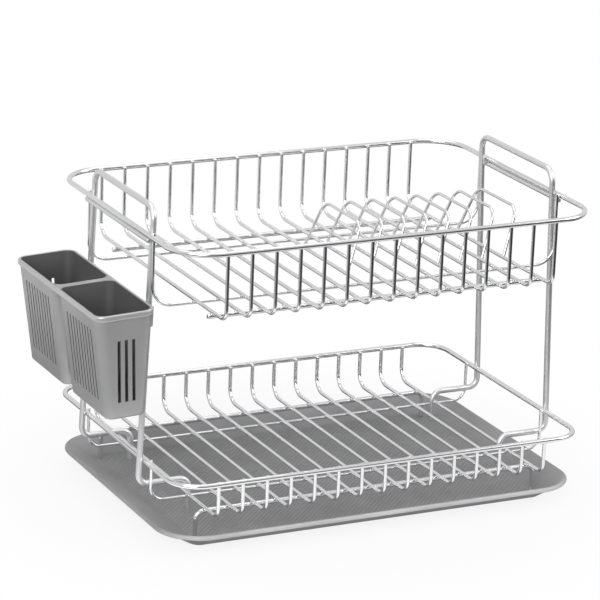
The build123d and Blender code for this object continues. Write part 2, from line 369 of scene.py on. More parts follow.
def plasticMaterial(name, finish):
    # moulded plastic: colour drifts between two greys, times one plus the mesh's painted light and shade
    # if it has one (below zero painted shade, above zero painted light), under fine sparked grain and a
    # few hair scratches
    material, tree, shader = newMaterial(
        name, Metallic=finish["metallic"],
        **{"Specular IOR Level": finish["specular"], "Coat Weight": finish["coat"],
           "Coat Roughness": plasticLook["coatRoughness"]})
    coords = addNode(tree, "ShaderNodeTexCoord")
    grain = addNode(
        tree, "ShaderNodeGroup", node_tree=fineGrain,
        **{"Grain Scale": finish["grainScale"], "Patch Scale": plasticLook["patchScale"]})
    hair = addNode(
        tree, "ShaderNodeGroup", node_tree=hairScratches, Scale=plasticLook["hairScale"],
        Amount=plasticLook["scratch"])
    greys = addNode(tree, "ShaderNodeMix", data_type="RGBA")
    darkInput, lightInput = [socket for socket in greys.inputs if socket.type == "RGBA"]
    darkInput.default_value = (*finish["dark"], 1.0)
    lightInput.default_value = (*finish["light"], 1.0)
    mixed = [socket for socket in greys.outputs if socket.type == "RGBA"][0]
    # painted light and shade: a per-point gain on the base colour, set only on the drip tray and its ribs
    paintedLightShade = addNode(tree, "ShaderNodeAttribute", attribute_name="paintedLightShade")
    gain = addNode(tree, "ShaderNodeMath", operation="ADD")
    gain.inputs[1].default_value = 1.0
    scaled = addNode(tree, "ShaderNodeVectorMath", operation="SCALE")
    tree.links.new(mixed, scaled.inputs[0])
    join(
        tree,
        (coords, "Object", grain, "Vector"),
        (coords, "Object", hair, "Vector"),
        (grain, "Patches", greys, "Factor"),
        (paintedLightShade, "Fac", gain, 0),
        (gain, "Value", scaled, "Scale"),
        (scaled, "Vector", shader, "Base Color"),
    )
    height, mask = grain.outputs["Height"], hair.outputs["Mask"]
    roughened(tree, shader, height, *finish["roughness"], mask, plasticLook["hairRough"])
    bumped(tree, shader, [
        (height, plasticLook["grainBump"], finish["grainDepth"]),
        (mask, plasticLook["hairBump"], plasticLook["hairDepth"]),
    ])
    return material


chrome = wireMaterial("brightChrome", chromeFinish)
satinChrome = wireMaterial("satinChrome", satinFinish)
trayPlastic = plasticMaterial("trayPlastic", trayFinish)
caddyPlastic = plasticMaterial("caddyPlastic", caddyFinish)
caddyRimPaintedLightPlastic = plasticMaterial("caddyRimPaintedLightPlastic", rimPaintedLightFinish)
caddyPaintedShadePlastic = plasticMaterial("caddyPaintedShadePlastic", insidePaintedShadeFinish)
print("materials made")


# Camera at the photograph's angle, for an image of 600 by 600

photoCamera = {
    "azimuth": -26.52, "elevation": 17.46, "roll": 2.23, "distance": 3.15216,
    "focalPixels": 3202.64, "imagePixels": 600, "sensor": 36.0, "clipEnd": 200.0,
    "target": (-0.03544, -0.02395, 0.19923),
}


def addCamera(shot):
    # stands back from the target along the viewing angle, then rolls about its own axis
    azimuth, elevation, roll = (math.radians(shot[k]) for k in ("azimuth", "elevation", "roll"))
    level = math.cos(elevation)
    back = np.array([math.sin(azimuth) * level, -math.cos(azimuth) * level, math.sin(elevation)])
    right = unit(np.cross(-back, (0, 0, 1)))
    up = np.cross(right, -back)
    turnedRight = right * math.cos(roll) + up * math.sin(roll)
    turnedUp = up * math.cos(roll) - right * math.sin(roll)
    place = np.array(shot["target"]) + back * shot["distance"]
    data = bpy.data.cameras.new("photoCamera")
    data.sensor_fit = "HORIZONTAL"
    data.sensor_width = shot["sensor"]
    data.lens = shot["focalPixels"] * shot["sensor"] / shot["imagePixels"]
    data.clip_end = shot["clipEnd"]
    camera = addObject("photoCamera", data)
    setPlace(camera, turnedRight, turnedUp, back, place)
    bpy.context.scene.camera = camera
    return camera


camera = addCamera(photoCamera)
print("camera placed at", [round(v, 3) for v in camera.matrix_world.translation])


# Wires: a round section carried along a bent path, with its cut ends rounded over

wireSection = {
    "sides": 20, "bendSteps": 12, "endRound": 0.35, "endSteps": 4, "ease": 0.3 * mm, "runScale": 100,
}


def circle(radius, sides):
    # radius times (cos a, sin a) round a full turn
    angle = np.arange(sides) * 2 * math.pi / sides
    return radius * np.column_stack([np.cos(angle), np.sin(angle)])


def wireRun(path, section, radius):
    # scaled length along the wire, then the place round it as a unit circle
    length = np.concatenate([[0], np.cumsum(np.linalg.norm(np.diff(path, axis=0), axis=1))])
    shape = (len(path), len(section))
    along = np.broadcast_to(length[:, None], shape)
    around = np.broadcast_to(section[None] / radius, shape + (2,))
    return np.concatenate([along[..., None] * wireSection["runScale"], around], -1)


def addWire(name, points, radii, radius, side, body, node, material=chrome):
    # the end rings shrink as a quarter round, from the full radius down to the cut face; one more ring
    # of the full radius keeps the shading of the run behind them straight
    path = bentPath(points, radii, wireSection["bendSteps"])
    over = wireSection["endRound"] * radius
    t = np.linspace(0, math.pi / 2, wireSection["endSteps"])
    along = np.append(over * (1 - np.cos(t)), over + wireSection["ease"])[:, None]
    shrink = np.append(1 - wireSection["endRound"] * (1 - np.sin(t)), 1.0)
    head = path[0] + along * unit(path[1] - path[0])
    tail = path[-1] + along[::-1] * unit(path[-2] - path[-1])
    path = np.vstack([head, path[1:-1], tail])
    scale = np.ones(len(path))
    scale[:len(shrink)] = shrink
    scale[-len(shrink):] = shrink[::-1]
    section = circle(radius, wireSection["sides"])
    rings = carry(path, side, section, scale)
    mesh = loftMesh(name, rings)
    setValues(mesh, "wireRun", wireRun(path, section, radius), width=3)
    return addPiece(name, mesh, material, body, "chromed_wire", node)


rims = {"lowerCorner": 30 * mm, "upperCorner": 42 * mm, "cornerSteps": 20}


def addRim(tier):
    # a closed rounded rectangle through the middle of the rim's box
    node = f"{tier}_rim"
    low, high = nodeBox(node)
    radius = (high[2] - low[2]) / 2
    corner, steps = rims[f"{tier}Corner"], rims["cornerSteps"]
    loop = roundedLoop(high[0] - radius, high[1] - radius, corner, steps, wireSection["ease"])
    path = np.column_stack([loop, np.full(len(loop), (high[2] + low[2]) / 2)])
    section = circle(radius, wireSection["sides"])
    rings = carry(path, (0, 0, 1), section, closed=True)
    mesh = loftMesh(f"{tier}Rim", rings, closed=True)
    setValues(mesh, "wireRun", wireRun(path, section, radius), width=3)
    addPiece(f"{tier}Rim", mesh, chrome, f"{tier}_rack", "chromed_wire", node)


crossWires = {"count": 15, "frontBend": 11 * mm, "backBend": 15 * mm}


def addCrossWire(tier, number):
    # a U across the rack, tight at the front and wide at the back
    node = f"{tier}_cross_wire_{number:02d}"
    low, high = nodeBox(node)
    radius, x = boxFace(node, 0)
    y, bottom, top = high[1] - radius, low[2] + radius, high[2]
    points = [(x, -y, top), (x, -y, bottom), (x, y, bottom), (x, y, top)]
    bends = [crossWires["frontBend"], crossWires["backBend"]]
    addWire(f"{tier}CrossWire{number:02d}", points, bends, radius, (1, 0, 0), f"{tier}_rack", node)


ties = {"lowerBend": 14 * mm, "upperBend": 20 * mm}


def addTie(tier, end):
    # a U along the rack, under the cross wires and up to the side rims
    node = f"{tier}_{end}_tie"
    low, high = nodeBox(node)
    radius, y = boxFace(node, 1)
    x, bottom, top = high[0] - radius, low[2] + radius, high[2]
    points = [(-x, y, top), (-x, y, bottom), (x, y, bottom), (x, y, top)]
    bends = [ties[f"{tier}Bend"]] * 2
    addWire(f"{tier}{end.title()}Tie", points, bends, radius, (0, 1, 0), f"{tier}_rack", node)


feet = {"bend": 8 * mm}


def addFootedRail(end):
    # a straight rail whose ends turn down into two feet
    node = f"lower_{end}_rail"
    low, high = nodeBox(node)
    radius, y = boxFace(node, 1)
    x, rail, foot = high[0] - radius, high[2] - radius, low[2]
    points = [(-x, y, foot), (-x, y, rail), (x, y, rail), (x, y, foot)]
    addWire(f"lower{end.title()}Rail", points, [feet["bend"]] * 2, radius, (0, 1, 0), "lower_rack", node)


def addStraightWire(name, node, axis, side, body, material=chrome):
    # one straight wire down the middle of its box
    low, high = nodeBox(node)
    radius = (high[2] - low[2]) / 2
    start, end = (low + high) / 2, (low + high) / 2
    start[axis], end[axis] = low[axis], high[axis]
    addWire(name, [start, end], [], radius, side, body, node, material)


dividers = {
    "count": 8, "base": 98 * mm, "top": 80 * mm, "height": 47.5 * mm, "lean": 17 * mm,
    "bend": 14 * mm, "lap": 2 * mm, "radius": 1.5 * mm,
}


def dividerWeld(number):
    # where a divider's leg touches its cross wire: the wire's axis and radius, and the lean
    crossNode = f"upper_cross_wire_{crossWires['count'] - dividers['count'] + number:02d}"
    crossRadius, x = boxFace(crossNode, 0)
    z = nodeBox(crossNode)[0][2] + crossRadius
    lean = math.atan2(dividers["lean"], dividers["height"])
    return x, z, crossRadius, lean


def addDivider(number):
    # a leaning inverted U, welded by its legs to the side of a cross wire
    node = f"divider_{number:02d}"
    x, z, crossRadius, lean = dividerWeld(number)
    radius = dividers["radius"]
    reach = crossRadius + radius + supports["weldGap"]
    weldX, weldZ = x + reach * math.cos(lean), z - reach * math.sin(lean)
    below = dividers["lap"] / dividers["height"]
    footY = dividers["base"] / 2 + below * (dividers["base"] - dividers["top"]) / 2
    footX, footZ = weldX - below * dividers["lean"], weldZ - dividers["lap"]
    topX, topZ, topY = weldX + dividers["lean"], weldZ + dividers["height"], dividers["top"] / 2
    points = [(footX, -footY, footZ), (topX, -topY, topZ), (topX, topY, topZ), (footX, footY, footZ)]
    side = (math.cos(lean), 0, -math.sin(lean))
    addWire(f"divider{number:02d}", points, [dividers["bend"]] * 2, radius, side, "upper_rack", node)


supports = {
    "radius": 3 * mm, "runDrop": 23.2 * mm, "hookBend": 10 * mm, "legBend": 10 * mm, "topBend": 13 * mm,
    "weldGap": 0.02 * mm, "sideGap": 0.5 * mm,
}
rimRadius, lowerRimZ = boxFace("lower_rim", 2)
upperRimZ = boxFace("upper_rim", 2)[1]
lowerHalf = nodeBox("lower_rim")[1] - rimRadius
upperHalf = nodeBox("upper_rim")[1] - rimRadius
legRadius = supports["radius"]
legLowX = lowerHalf[0] + rimRadius + legRadius + supports["weldGap"]
legHighX = upperHalf[0] - rimRadius - legRadius - supports["sideGap"]


def legX(z):
    # the legs lean from outside the lower rim to inside the upper one, in a straight line
    return legLowX + (legHighX - legLowX) * (z - lowerRimZ) / (upperRimZ - lowerRimZ)


def addSupport(name, side):
    # hook, run under the lower rim, leg, top bar, and the same in reverse
    node = f"{name}_support"
    low, high = nodeBox(node)
    y, top, tip = high[1] - legRadius, high[2] - legRadius, low[2]
    hookX = (low[0] if side > 0 else -high[0]) + legRadius
    runZ = lowerRimZ - supports["runDrop"]
    half = [(hookX, tip), (hookX, runZ), (legX(runZ), runZ), (legX(top), top)]
    points = [(side * x, -y, z) for x, z in half] + [(side * x, y, z) for x, z in reversed(half)]
    bends = [supports["hookBend"], supports["legBend"], supports["topBend"]]
    bends += bends[::-1]
    addWire(f"{name}Support", points, bends, legRadius, (1, 1, 0), "lower_rack", node, satinChrome)


for tier in ("lower", "upper"):
    addRim(tier)
    for number in range(1, crossWires["count"] + 1):
        addCrossWire(tier, number)
    for end in ("front", "back"):
        addTie(tier, end)
for end in ("front", "back"):
    addFootedRail(end)
    addStraightWire(f"upper{end.title()}Rail", f"upper_{end}_rail", 0, (0, 1, 0), "upper_rack")
for number in range(1, dividers["count"] + 1):
    addDivider(number)
for name, side in (("left", -1), ("right", 1)):
    addSupport(name, side)
    addStraightWire(f"{name}Crossbar", f"{name}_crossbar", 1, (0, 0, 1), "lower_rack", satinChrome)
print("wires made")


# Weld beads: flattened balls in the crease where two wires cross

beads = {
    "along": 1.5 * mm, "thick": 0.75 * mm, "rows": 5, "columns": 10, "nubRise": 0.6 * mm, "nubSize": 1.1,
}


def beadRings(centres, first, second, normal, size=1.0):
    # centre + first a cos(u) cos(v) + second a cos(u) sin(v) + normal thick sin(u)
    u = np.linspace(-math.pi / 2, math.pi / 2, beads["rows"] + 2)[1:-1][:, None]
    v = np.arange(beads["columns"]) * 2 * math.pi / beads["columns"]
    across = beads["along"] * np.cos(u) * np.cos(v)
    along = beads["along"] * np.cos(u) * np.sin(v)
    out = beads["thick"] * np.sin(u) * np.ones_like(v)
    offset = across[..., None] * first + along[..., None] * second + out[..., None] * normal
    return np.asarray(centres, float)[:, None, None] + size * offset


def crossingPoints(xs, ys, z):
    # every pair of an x and a y, at one height
    x, y = np.meshgrid(xs, ys)
    return np.column_stack([x.ravel(), y.ravel(), np.full(x.size, z)])


def rackBeads(tier):
    # flat ones where cross wires lie on rails and ties, nubs at the rims, and ties on the side rims
    crossNodes = [f"{tier}_cross_wire_{n:02d}" for n in range(1, crossWires["count"] + 1)]
    xs = [boxFace(node, 0)[1] for node in crossNodes]
    under = nodeBox(crossNodes[0])[0][2]
    rimZ = boxFace(f"{tier}_rim", 2)[1]
    inner = nodeBox(f"{tier}_rim")[1] - 2 * rimRadius
    railYs = [boxFace(f"{tier}_{end}_rail", 1)[1] for end in ("front", "back")]
    tieY = boxFace(f"{tier}_back_tie", 1)[1]
    x, y, z = np.eye(3)
    flat = crossingPoints(xs, railYs + [-tieY, tieY], under)
    nubs = crossingPoints(xs, [-inner[1], inner[1]], rimZ + beads["nubRise"])
    sides = crossingPoints([-inner[0], inner[0]], [-tieY, tieY], rimZ)
    return [
        beadRings(flat, x, y, z),
        beadRings(nubs, z, x, y, beads["nubSize"]),
        beadRings(sides, y, z, x),
    ]


def dividerBeads():
    # one at each foot, on the side of the cross wire
    rows = []
    for number in range(1, dividers["count"] + 1):
        x, z, crossRadius, lean = dividerWeld(number)
        touchX, touchZ = x + crossRadius * math.cos(lean), z - crossRadius * math.sin(lean)
        rows += [(touchX, way * dividers["base"] / 2, touchZ) for way in (-1, 1)]
    normal = np.array([math.cos(lean), 0, -math.sin(lean)])
    leg = np.array([math.sin(lean), 0, math.cos(lean)])
    return beadRings(rows, np.array([0.0, 1.0, 0.0]), leg, normal)


def crossbarBeads():
    # one at each leg, between the crossbar and the leg
    barZ = boxFace("right_crossbar", 2)[1]
    legY = nodeBox("right_support")[1][1] - legRadius
    touch = legX(barZ) + legRadius
    x, y, z = np.eye(3)
    return beadRings(crossingPoints([-touch, touch], [-legY, legY], barZ), y, z, x)


for tier, more in (("lower", crossbarBeads()), ("upper", dividerBeads())):
    rings = np.concatenate(rackBeads(tier) + [more])
    addPiece(f"{tier}Welds", loftMesh(f"{tier}Welds", rings), chrome, f"{tier}_rack", "chromed_wire")
print("weld beads made")


# Drip tray: one profile carried round a rounded rectangle, with ribs embossed on its floor

tray = {
    "endRun": 33.2 * mm, "frontRun": 26 * mm, "baseCorner": 10 * mm, "lipCorner": 45 * mm,
    "floor": 3 * mm, "wall": 2.4 * mm, "lipRadius": 2.3 * mm, "footRound": 3 * mm, "floorRound": 9 * mm,
    "lipBlend": 4 * mm, "blendShare": 0.6, "slopeShare": 0.9, "lipFrom": -128, "lipTo": 112,
    "lipSteps": 18, "floorInset": 6.5 * mm, "bendSteps": 8, "cornerSteps": 20, "ease": 0.5 * mm,
}


def trayProfile():
    # underside, foot round, outer slope, lip arc, inner slope and floor of the front wall, as outward
    # distance and height; the third column is the share of the way from the base to the lip and the
    # fourth is 0 outside, 1 on the lip and 2 inside
    height = nodeBox("drip_tray")[1][2]
    lipOut, lipZ = tray["frontRun"] - tray["lipRadius"], height - tray["lipRadius"]
    rise = lipZ / lipOut
    drawIn = tray["wall"] / math.cos(math.atan2(lipOut, lipZ))
    floorOut = tray["floor"] / rise - drawIn
    slopeEnd = (lipOut * tray["slopeShare"], lipZ * tray["slopeShare"], 0)
    low = [(-tray["floorInset"], 0, 0), (0, 0, 0), slopeEnd]
    t = np.linspace(math.radians(tray["lipFrom"]), math.radians(tray["lipTo"]), tray["lipSteps"])
    lip = np.column_stack([lipOut + tray["lipRadius"] * np.cos(t), lipZ + tray["lipRadius"] * np.sin(t)])
    innerOut = lipOut - tray["lipBlend"] / rise
    innerZ = tray["floor"] + (innerOut - floorOut) * rise
    floorEnds = [(floorOut, tray["floor"], 0), (-tray["floorInset"], tray["floor"], 0)]
    inside = [(*lip[-1], 0), (innerOut, innerZ, 0), *floorEnds]
    innerBends = [tray["lipBlend"] * tray["blendShare"], tray["floorRound"]]
    outer = bentPath(low, [tray["footRound"]], tray["bendSteps"])[:, :2]
    inner = bentPath(inside, innerBends, tray["bendSteps"])[1:, :2]
    share = np.concatenate([outer[:, 1] / lipZ, np.ones(len(lip)), np.minimum(inner[:, 1] / lipZ, 1)])
    kind = np.repeat([0, 1, 2], [len(outer), len(lip), len(inner)])
    return np.column_stack([np.vstack([outer, lip, inner]), share, kind])


trayHigh = nodeBox("drip_tray")[1]
baseX, baseY = trayHigh[0] - tray["endRun"], trayHigh[1] - tray["frontRun"]


def trayRings():
    # the profile's distance counts from the base at the front, and grows by its share of the longer
    # run at the ends and of the wider corner at the corners
    out, height, share = trayProfile().T[:3]
    longer = tray["endRun"] - tray["frontRun"]
    wider = tray["lipCorner"] - tray["baseCorner"] - tray["frontRun"]
    corner = tray["baseCorner"] + out + share * wider
    halfX, halfY = baseX + out + share * longer, baseY + out
    loops = roundedLoop(halfX, halfY, corner, tray["cornerSteps"], tray["ease"])
    heights = np.broadcast_to(height[:, None, None], loops.shape[:2] + (1,))
    return np.concatenate([loops, heights], -1)


# painted light and shade for the tray, as gains on its base colour: painted shade on the outside wall,
# painted light on the inner slope (flange), painted highlight on the lip, strongest at the front
trayPaintedLightShade = {
    "outside": -0.72, "flange": 0.39, "flangeRise": 4 * mm, "lip": 0.35, "frontLip": 0.72,
    "frontFrom": 120 * mm, "frontTo": 150 * mm,
}


def trayPaintedLightShadeValues(rings):
    # painted light and shade: painted shade darkens the outside wall, painted light lightens the inner
    # slope by its rise above the floor, and a painted highlight lightens the lip, most in front
    kind = trayProfile()[:, 3][:, None]
    rise = np.clip((rings[..., 2] - tray["floor"]) / trayPaintedLightShade["flangeRise"], 0, 1)
    front = (-rings[..., 1] - trayPaintedLightShade["frontFrom"]) / (trayPaintedLightShade["frontTo"] - trayPaintedLightShade["frontFrom"])
    lip = trayPaintedLightShade["lip"] + trayPaintedLightShade["frontLip"] * np.clip(front, 0, 1)
    return np.where(kind == 0, trayPaintedLightShade["outside"], np.where(kind == 1, lip, trayPaintedLightShade["flange"] * rise))


trayGrid = trayRings()
trayMesh = loftMesh("dripTray", trayGrid)
# painted light and shade on the tray's surface
setValues(trayMesh, "paintedLightShade", trayPaintedLightShadeValues(trayGrid))
addPiece("dripTray", trayMesh, trayPlastic, "tray", "tray_plastic", "drip_tray")

# painted highlight: the ribs' base colour is lightened by a fixed gain, standing in for light caught along
# their ridges
ribs = {
    "pitch": 3.9 * mm, "width": 2.1 * mm, "height": 0.28 * mm, "inset": 5 * mm, "end": 1.5 * mm,
    "sink": 0.1 * mm, "shortest": 14 * mm, "paintedLightShade": 0.16,
    "across": (-0.5, 0.5, 0.3, 0.0, -0.3), "arch": (0.0, 0.0, 0.75, 1.0, 0.75), "buried": (1, 1, 0, 0, 0),
}


def ribRings():
    # ribs along (1, 1) at even steps along (1, -1), each clipped to the floor and run out at its ends;
    # the section is a low arch with its foot just under the floor
    reachX = math.sqrt(2) * (baseX - ribs["inset"])
    reachY = math.sqrt(2) * (baseY - ribs["inset"])
    count = int((reachX + reachY) / 2 / ribs["pitch"])
    c = np.arange(-count, count + 1) * ribs["pitch"]
    start = np.maximum(-reachX - c, -reachY + c)
    end = np.minimum(reachX - c, reachY + c)
    long = end - start > ribs["shortest"]
    c, start, end = c[long], start[long], end[long]
    t = np.stack([start, start + ribs["end"], end - ribs["end"], end], 1)
    rise = np.array([0.0, 1.0, 1.0, 0.0])
    across = np.array(ribs["across"]) * ribs["width"]
    arch = np.array(ribs["arch"]) * ribs["height"]
    sink = np.array(ribs["buried"]) * ribs["sink"]
    w = c[:, None, None] + across
    x = (w + t[..., None]) / math.sqrt(2)
    y = (t[..., None] - w) / math.sqrt(2)
    z = tray["floor"] + rise[:, None] * arch - sink
    return np.stack([x, y, np.broadcast_to(z, x.shape)], -1)


ribGrid = ribRings()
ribMesh = loftMesh("trayRibs", ribGrid)
# painted highlight on every rib
setValues(ribMesh, "paintedLightShade", np.full(ribGrid.shape[:3], ribs["paintedLightShade"]))
addPiece("trayRibs", ribMesh, trayPlastic, "tray", "tray_plastic")
print("drip tray made")


# Caddy: two tapered pockets with slots, under one rounded rim

caddy = {
    "width": 62 * mm, "height": 106 * mm, "standoff": 1.3 * mm, "corner": 12 * mm, "wall": 2 * mm,
    "band": 6 * mm, "bandStep": 1.5 * mm, "sideTaper": 9 * mm, "endTaper": 4.5 * mm, "gapTop": 5 * mm,
    "gapFoot": 17 * mm, "footCorner": 8 * mm, "footRound": 3.5 * mm, "topDrop": 0.4 * mm, "arcSteps": 8,
    "sideSlots": 9, "sidePitch": 7.2 * mm, "sideWidth": 2.2 * mm, "outerHeight": 71 * mm,
    "innerHeight": 53 * mm, "endSlots": 3, "endPitch": 7.4 * mm, "endWidth": 3 * mm,
    "endHeight": 62 * mm, "slotLift": 17 * mm, "footSteps": 6, "edge": 0.35 * mm, "edgeAngle": 50,
    "ease": 0.4 * mm,
}
caddyTop = nodeBox("caddy")[1][2]
caddyHalfY, caddyY = boxFace("caddy", 1)
caddyHalf = np.array([caddy["width"] / 2, caddyHalfY])
caddyEdgeX = -(legX(caddyTop) + legRadius + caddy["standoff"])
legLean = math.atan2(legX(0.0) - legX(1.0), 1.0)
caddyTurn = math.atan2(caddy["sideTaper"], caddy["height"]) - legLean
caddyPlace = np.array([caddyEdgeX - caddy["width"] / 2, caddyY, caddyTop])


def hung(points):
    # turned about the caddy's inner top edge by an angle t, which lays the tapered inner wall along the
    # legs: (x, z) becomes (x cos t - z sin t, x sin t + z cos t)
    edge = np.array([caddyEdgeX, 0, caddyTop])
    x, y, z = np.moveaxis(points - edge, -1, 0)
    turnedX = x * math.cos(caddyTurn) - z * math.sin(caddyTurn)
    turnedZ = x * math.sin(caddyTurn) + z * math.cos(caddyTurn)
    return np.stack([turnedX, y, turnedZ], -1) + edge


def slotEdges(middle, count, pitch, width):
    # the two edges of each slot, in order
    centres = middle + (np.arange(count) - (count - 1) / 2) * pitch
    return (centres[:, None] + np.array([-0.5, 0.5]) * width).ravel()


def pocketGrid():
    # loops from the foot up: each wall leans out by its taper, and the foot's edge is a quarter round
    t = np.linspace(0, math.pi / 2, caddy["footSteps"])
    inset = caddy["footRound"] * (1 - np.sin(t))
    low = caddy["footRound"] * (1 - np.cos(t))
    lift = caddy["slotLift"]
    tops = [lift, lift + caddy["innerHeight"], lift + caddy["endHeight"], lift + caddy["outerHeight"]]
    z = np.concatenate([low, tops, [caddy["height"] - caddy["topDrop"]]])
    inset = np.concatenate([inset, np.zeros(len(z) - len(inset))])
    h = z / caddy["height"]
    topX = caddyHalf[0] - caddy["bandStep"]
    topFar = caddyHalf[1] - caddy["bandStep"]
    halfX = topX - caddy["sideTaper"] * (1 - h)
    far = topFar - caddy["endTaper"] * (1 - h)
    near = caddy["gapTop"] / 2 * h + caddy["gapFoot"] / 2 * (1 - h)
    corner = (caddy["corner"] - caddy["bandStep"]) * h + caddy["footCorner"] * (1 - h)
    middle = (caddy["gapTop"] / 2 + caddy["gapFoot"] / 2 + 2 * topFar - caddy["endTaper"]) / 4
    sideY = slotEdges(middle, caddy["sideSlots"], caddy["sidePitch"], caddy["sideWidth"])
    endX = slotEdges(0.0, caddy["endSlots"], caddy["endPitch"], caddy["endWidth"])

    bend = np.clip(np.arange(-1, caddy["arcSteps"] + 1), 0, caddy["arcSteps"] - 1)
    past = np.zeros(len(bend))
    past[[0, -1]] = -caddy["ease"], caddy["ease"]

    def arc(signX, y, signY, start):
        # a round corner at every height, with a point a short way past each end
        angle = start + np.linspace(0, math.pi / 2, caddy["arcSteps"])[bend]
        radius = (corner - inset)[:, None]
        x = signX * (halfX - corner)[:, None] + radius * np.cos(angle) - past * np.sin(angle)
        arcY = (y - signY * corner)[:, None] + radius * np.sin(angle) + past * np.cos(angle)
        return np.stack([x, arcY], -1)

    def sideWall(sign, ys):
        # the points of one side at every height
        x = np.broadcast_to(sign * (halfX - inset)[:, None], (len(z), len(ys)))
        return np.stack([x, np.broadcast_to(ys, x.shape)], -1)

    farY = np.broadcast_to((far - inset)[:, None], (len(z), len(endX)))
    farWall = np.stack([np.broadcast_to(endX[::-1], farY.shape), farY], -1)
    quarter = math.pi / 2
    loop = np.concatenate([
        sideWall(1, sideY), arc(1, far, 1, 0), farWall, arc(-1, far, 1, quarter),
        sideWall(-1, sideY[::-1]), arc(-1, near, -1, 2 * quarter), arc(1, near, -1, 3 * quarter)], 1)
    heights = np.broadcast_to(z[:, None, None], loop.shape[:2] + (1,))
    keep = np.ones((len(z) - 1, loop.shape[1]), bool)
    firstRow = len(low)
    inner = 2 * np.arange(caddy["sideSlots"])
    ends = len(sideY) + len(bend) + 2 * np.arange(caddy["endSlots"])
    outer = len(sideY) + 2 * len(bend) + len(endX) + 2 * np.arange(caddy["sideSlots"])
    for columns, rows in ((inner, 1), (ends, 2), (outer, 3)):
        keep[firstRow:firstRow + rows, columns] = False
    return np.concatenate([loop, heights], -1), keep


def addPocket(name, way, *nodes):
    # the grid set in place, mirrored for the front pocket, then given its wall, with painted shade: a
    # darker copy of the plastic on the inner faces and the rim faces
    rings, keep = pocketGrid()
    rings = hung(rings * np.array([1, way, 1]) + caddyPlace - np.array([0, 0, caddy["height"]]))
    if way < 0:
        rings = rings[:, ::-1]
        keep = np.roll(keep[:, ::-1], -1, axis=1)
    mesh = loftMesh(name, rings, poles=(True, False), keep=keep)
    piece = addPiece(name, mesh, caddyPlastic, "caddy", "caddy_plastic", *nodes)
    wall = piece.modifiers.new("wall", "SOLIDIFY")
    wall.thickness = caddy["wall"]
    wall.offset = -1.0
    wall.use_even_offset = True
    # painted shade: the inner and rim faces take the dark copy of the plastic
    wall.material_offset = 1
    wall.material_offset_rim = 1
    mesh.materials.append(caddyPaintedShadePlastic)
    edge = piece.modifiers.new("edge", "BEVEL")
    edge.width = caddy["edge"]
    edge.segments = 2
    edge.limit_method = "ANGLE"
    edge.angle_limit = math.radians(caddy["edgeAngle"])
    edge.harden_normals = True
    return piece


caddyRim = {"depth": 3.4 * mm, "round": 1.7 * mm, "cornerSteps": 12, "roundSteps": 6}


def addRimBand():
    # a rounded band carried round the caddy's outline
    loop = roundedLoop(*caddyHalf, caddy["corner"], caddyRim["cornerSteps"], caddy["ease"])
    path = np.column_stack([loop, np.zeros(len(loop))]) + caddyPlace
    half = np.array([caddy["band"], caddyRim["depth"]]) / 2
    section = roundedLoop(*half, caddyRim["round"], caddyRim["roundSteps"]) - half
    mesh = loftMesh("caddyRim", hung(carry(path, (0, 0, 1), section, closed=True)), closed=True)
    # painted light: the rim takes the lighter copy of the caddy plastic
    addPiece("caddyRim", mesh, caddyRimPaintedLightPlastic, "caddy", "caddy_plastic")


bridge = {
    "flatSteps": 5, "cornerShares": (0.3, 0.55, 0.75, 0.88, 0.95, 0.98), "round": 1.2 * mm,
    "roundSteps": 5, "drop": 0.1 * mm,
}


def addBridge():
    # the bar between the pockets: its half width grows by r - sqrt(r^2 - x^2) past the flat middle, as
    # the round corners of the two mouths do
    inside = caddy["corner"] - caddy["bandStep"] - caddy["wall"]
    flat = caddyHalf[0] - caddy["bandStep"] - caddy["wall"] - inside
    outward = flat + inside * np.array(bridge["cornerShares"])
    x = np.concatenate([-outward[::-1], flat * np.linspace(-1, 1, bridge["flatSteps"]), outward])
    over = np.clip(np.abs(x) - flat, 0, inside)
    width = caddy["gapTop"] / 2 + caddy["wall"] + inside - np.sqrt(inside**2 - over**2)
    depth = np.full(len(x), caddy["band"] / 2)
    loop = roundedLoop(width, depth, np.full(len(x), bridge["round"]), bridge["roundSteps"])
    along = np.broadcast_to(x[:, None], loop.shape[:2])
    rings = np.stack([along, loop[..., 0], loop[..., 1] - caddy["band"] / 2 - bridge["drop"]], -1)
    mesh = loftMesh("caddyBridge", hung(rings + caddyPlace))
    addPiece("caddyBridge", mesh, caddyPlastic, "caddy", "caddy_plastic")


clips = {
    "height": 20 * mm, "wall": 1.8 * mm, "gap": 0.3 * mm, "mouth": 5 * mm, "steps": 28,
    "stripRound": 0.8 * mm, "armRound": 1 * mm, "roundSteps": 5,
}


def addClip(name, y):
    # a tall strip carried round the leg from one side of its mouth to the other, and an arm to the pocket
    z = caddyTop - caddy["band"] - clips["height"] / 2
    legAxis = np.array([math.sin(legLean), 0.0, math.cos(legLean)])
    radius = legRadius + clips["gap"] + clips["wall"] / 2
    centre = np.array([-legX(z), y, z])
    mouth = math.asin(clips["mouth"] / 2 / radius)
    angle = np.linspace(mouth, 2 * math.pi - mouth, clips["steps"])
    ring = centre + radius * np.column_stack([np.cos(angle), np.sin(angle), np.zeros(len(angle))])
    strip = roundedLoop(clips["height"] / 2, clips["wall"] / 2, clips["stripRound"], clips["roundSteps"])
    mesh = loftMesh(f"{name}Clip", carry(ring, legAxis, strip))
    addPiece(f"{name}Clip", mesh, caddyPlastic, "caddy", "caddy_plastic")
    reach = legRadius + caddy["standoff"] + caddy["bandStep"] + caddy["wall"] / 2
    arm = centre - np.array([[radius - clips["wall"] / 4, 0, 0], [reach, 0, 0]])
    block = roundedLoop(clips["height"] / 2, radius, clips["armRound"], clips["roundSteps"])
    mesh = loftMesh(f"{name}ClipArm", carry(arm, (0, 0, 1), block))
    addPiece(f"{name}ClipArm", mesh, caddyPlastic, "caddy", "caddy_plastic")


